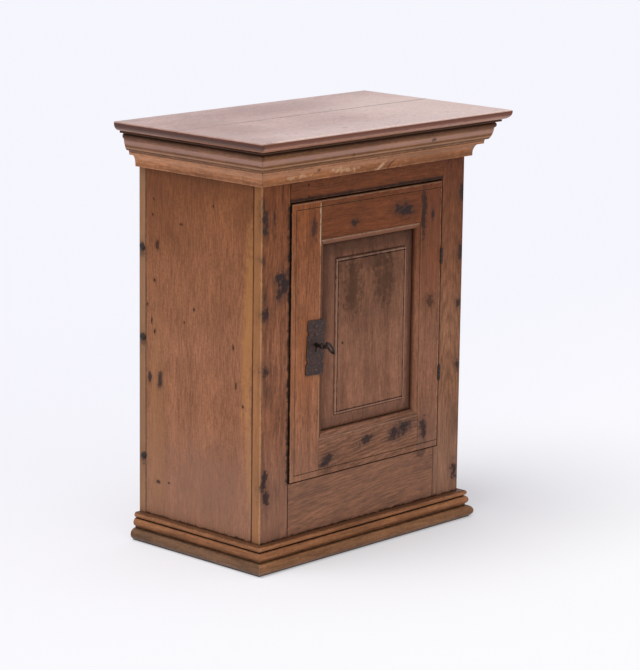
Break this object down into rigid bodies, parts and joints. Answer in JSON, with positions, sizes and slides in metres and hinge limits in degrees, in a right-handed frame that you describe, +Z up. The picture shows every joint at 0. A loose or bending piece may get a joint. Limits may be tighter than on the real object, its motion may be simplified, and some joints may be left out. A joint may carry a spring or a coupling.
{
  "type": "tobacco cabinet",
  "caption": "Small table-top cupboard of joined boards with a stepped cornice, moulded base, one fielded-panel door on butt hinges, and a key-turned lock bolt.",
  "frame": {"origin": "on the floor, under the middle of the top's outline", "axes": "+Z up, -Y out of the front with the door, +X to the right as seen from the front"},
  "size_m": [0.522, 0.296, 0.62],
  "materials": {
    "side_wood": "old softwood boards, waxed",
    "frame_wood": "old oak, waxed and darkened",
    "door_wood": "old oak, waxed, with iron stains",
    "top_wood": "old boards, polished by use",
    "moulding_wood": "planed mouldings, waxed",
    "inside_wood": "bare old wood",
    "wrought_iron": "forged iron, dark oxide"
  },
  "bodies": {
    "carcass": {"side_left": "side_wood", "side_right": "side_wood", "back_board_1": "inside_wood", "back_board_2": "inside_wood", "back_board_3": "inside_wood", "bottom_board": "inside_wood", "shelf": "inside_wood", "shelf_cleat_left": "inside_wood", "shelf_cleat_right": "inside_wood", "frame_stile_left": "frame_wood", "frame_stile_right": "frame_wood", "frame_rail_top": "frame_wood", "frame_rail_bottom": "frame_wood", "frame_slip": "frame_wood", "door_stop": "inside_wood", "top_board_front": "top_wood", "top_board_rear": "top_wood", "cornice_upper_front": "moulding_wood", "cornice_upper_left": "moulding_wood", "cornice_upper_right": "moulding_wood", "cornice_lower_front": "moulding_wood", "cornice_lower_left": "moulding_wood", "cornice_lower_right": "moulding_wood", "base_moulding_front": "moulding_wood", "base_moulding_left": "moulding_wood", "base_moulding_right": "moulding_wood", "plinth_front": "moulding_wood", "plinth_left": "moulding_wood", "plinth_right": "moulding_wood", "hinge_upper_frame_leaf": "wrought_iron", "hinge_upper_pin": "wrought_iron", "hinge_lower_frame_leaf": "wrought_iron", "hinge_lower_pin": "wrought_iron"},
    "door": {"door_stile_latch": "door_wood", "door_stile_hinge": "door_wood", "door_rail_top": "door_wood", "door_rail_bottom": "door_wood", "door_panel": "door_wood", "hinge_upper_door_leaf": "wrought_iron", "hinge_lower_door_leaf": "wrought_iron", "lock_plate": "wrought_iron", "lock_plate_nail_1": "wrought_iron", "lock_plate_nail_2": "wrought_iron", "lock_plate_nail_3": "wrought_iron", "lock_case": "wrought_iron"},
    "key": {"key": "wrought_iron"},
    "bolt": {"lock_bolt": "wrought_iron"}
  },
  "joints": [
    {"name": "door_swing", "type": "hinge", "parent": "carcass", "child": "door", "pos_m": [0.164, -0.0995, 0.3191], "axis": [0, 0, 1], "range_deg": [0, 170]},
    {"name": "key_turn", "type": "hinge", "parent": "door", "child": "key", "pos_m": [-0.1035, -0.1009, 0.3135], "axis": [0, 1, 0], "range_deg": [0, 70]},
    {"name": "bolt_throw", "type": "slide", "parent": "door", "child": "bolt", "axis": [-1, 0, 0], "range_m": [0, 0.012]}
  ],
  "couplings": [
    {"joint": "bolt_throw", "follows": "key_turn", "m_per_rad": 0.009822}
  ]
}
